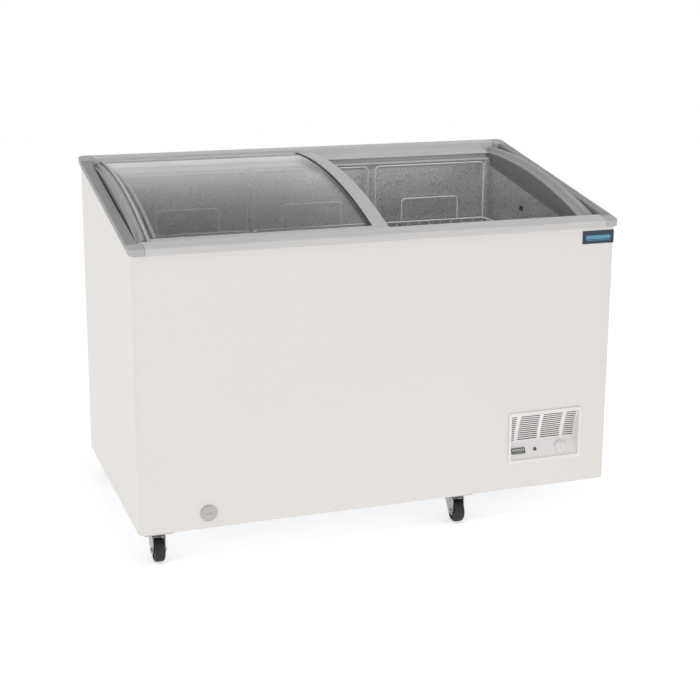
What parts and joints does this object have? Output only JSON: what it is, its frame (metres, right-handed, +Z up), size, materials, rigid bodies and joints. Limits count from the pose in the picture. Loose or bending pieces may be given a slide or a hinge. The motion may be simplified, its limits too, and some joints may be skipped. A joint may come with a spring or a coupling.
{
  "type": "chest freezer",
  "caption": "Display chest freezer with a sloping top, curved sliding glass lids, hanging wire baskets, a front control grille and swivel castors.",
  "frame": {"origin": "on the floor, under the centre of the footprint", "axes": "+X along the length to the right seen from the front, +Y to the rear, +Z up"},
  "size_m": [1.265, 0.695, 0.9057],
  "materials": {
    "white_coating": "satin stoved white",
    "rim_grey": "satin light grey extrusion",
    "corner_grey": "satin grey moulding",
    "galvanised": "galvanised sheet",
    "foam": "rigid foam",
    "embossed_metal": "embossed sheet",
    "copper": "drawn tube",
    "glass": "clear toughened",
    "white_wire": "white dipped wire",
    "white_plastic": "moulded white",
    "display": "dark window",
    "lamp_red": "translucent dark red",
    "plug_grey": "moulded grey",
    "badge_navy": "plain dark plate",
    "zinc": "zinc plated",
    "black_rubber": "solid tread",
    "black_paint": "gloss black",
    "black_plastic": "moulded black"
  },
  "bodies": {
    "cabinet": {"cabinet_wrap": "white_coating", "rear_panel": "galvanised", "rear_vent_grille": "galvanised", "base_panel": "galvanised", "foam_insulation": "foam", "inner_liner": "embossed_metal", "evaporator_coil": "copper", "front_rim": "rim_grey", "rear_rim": "rim_grey", "left_rim": "rim_grey", "right_rim": "rim_grey", "front_lid_rail": "rim_grey", "rear_lid_rail": "rim_grey", "left_end_arch": "rim_grey", "right_end_arch": "rim_grey", "front_left_corner_cap": "corner_grey", "front_left_castor_plate": "zinc", "front_right_corner_cap": "corner_grey", "front_right_castor_plate": "zinc", "rear_left_corner_cap": "corner_grey", "rear_left_castor_plate": "zinc", "rear_right_corner_cap": "corner_grey", "rear_right_castor_plate": "zinc", "grille_panel": "white_plastic", "thermometer_display": "display", "indicator_lamp": "lamp_red", "badge_plate": "badge_navy", "compressor": "black_paint", "condenser_coil": "black_paint", "fan_motor": "black_paint", "relay_box": "black_plastic", "cord_gland": "black_plastic"},
    "left_lid": {"left_lid_glass": "glass", "left_lid_grip_stile": "rim_grey", "left_lid_end_stile": "rim_grey", "left_lid_front_runner": "rim_grey", "left_lid_rear_runner": "rim_grey"},
    "right_lid": {"right_lid_glass": "glass", "right_lid_grip_stile": "rim_grey", "right_lid_end_stile": "rim_grey", "right_lid_front_runner": "rim_grey", "right_lid_rear_runner": "rim_grey"},
    "left_basket": {"left_basket": "white_wire"},
    "middle_basket": {"middle_basket": "white_wire"},
    "right_basket": {"right_basket": "white_wire"},
    "front_left_fork": {"front_left_castor_fork": "zinc", "front_left_castor_axle": "zinc"},
    "front_left_wheel": {"front_left_castor_wheel": "black_rubber"},
    "front_right_fork": {"front_right_castor_fork": "zinc", "front_right_castor_axle": "zinc"},
    "front_right_wheel": {"front_right_castor_wheel": "black_rubber"},
    "rear_left_fork": {"rear_left_castor_fork": "zinc", "rear_left_castor_axle": "zinc"},
    "rear_left_wheel": {"rear_left_castor_wheel": "black_rubber"},
    "rear_right_fork": {"rear_right_castor_fork": "zinc", "rear_right_castor_axle": "zinc"},
    "rear_right_wheel": {"rear_right_castor_wheel": "black_rubber"},
    "thermostat_knob": {"thermostat_knob": "white_plastic"},
    "drain_plug": {"drain_plug": "plug_grey"},
    "fan": {"fan_blade": "black_plastic"}
  },
  "joints": [
    {"name": "left_lid_slide", "type": "slide", "parent": "cabinet", "child": "left_lid", "axis": [1, 0, 0], "range_m": [0, 0.553]},
    {"name": "right_lid_slide", "type": "slide", "parent": "cabinet", "child": "right_lid", "axis": [1, 0, 0], "range_m": [0, 0.534]},
    {"name": "left_basket_lift", "type": "slide", "parent": "cabinet", "child": "left_basket", "axis": [0, 0, 1], "range_m": [0, 0.012]},
    {"name": "middle_basket_lift", "type": "slide", "parent": "cabinet", "child": "middle_basket", "axis": [0, 0, 1], "range_m": [0, 0.012]},
    {"name": "right_basket_lift", "type": "slide", "parent": "cabinet", "child": "right_basket", "axis": [0, 0, 1], "range_m": [0, 0.012]},
    {"name": "front_left_swivel", "type": "hinge", "parent": "cabinet", "child": "front_left_fork", "pos_m": [-0.575, -0.295, 0.0697], "axis": [0, 0, 1], "continuous": true},
    {"name": "front_left_wheel_spin", "type": "hinge", "parent": "front_left_fork", "child": "front_left_wheel", "pos_m": [-0.575, -0.313, 0.029], "axis": [1, 0, 0], "continuous": true},
    {"name": "front_right_swivel", "type": "hinge", "parent": "cabinet", "child": "front_right_fork", "pos_m": [0.21, -0.295, 0.0697], "axis": [0, 0, 1], "continuous": true},
    {"name": "front_right_wheel_spin", "type": "hinge", "parent": "front_right_fork", "child": "front_right_wheel", "pos_m": [0.21, -0.313, 0.029], "axis": [1, 0, 0], "continuous": true},
    {"name": "rear_left_swivel", "type": "hinge", "parent": "cabinet", "child": "rear_left_fork", "pos_m": [-0.575, 0.295, 0.0697], "axis": [0, 0, 1], "continuous": true},
    {"name": "rear_left_wheel_spin", "type": "hinge", "parent": "rear_left_fork", "child": "rear_left_wheel", "pos_m": [-0.575, 0.313, 0.029], "axis": [1, 0, 0], "continuous": true},
    {"name": "rear_right_swivel", "type": "hinge", "parent": "cabinet", "child": "rear_right_fork", "pos_m": [0.21, 0.295, 0.0697], "axis": [0, 0, 1], "continuous": true},
    {"name": "rear_right_wheel_spin", "type": "hinge", "parent": "rear_right_fork", "child": "rear_right_wheel", "pos_m": [0.21, 0.313, 0.029], "axis": [1, 0, 0], "continuous": true},
    {"name": "thermostat_turn", "type": "hinge", "parent": "cabinet", "child": "thermostat_knob", "pos_m": [0.496, -0.32925, 0.17675], "axis": [0, -0.9134, 0.4072], "range_deg": [-270, 0]},
    {"name": "drain_plug_pull", "type": "slide", "parent": "cabinet", "child": "drain_plug", "axis": [0, -1, 0], "range_m": [0, 0.03]},
    {"name": "fan_spin", "type": "hinge", "parent": "cabinet", "child": "fan", "pos_m": [0.455, -0.205, 0.215], "axis": [0, 1, 0], "continuous": true}
  ]
}
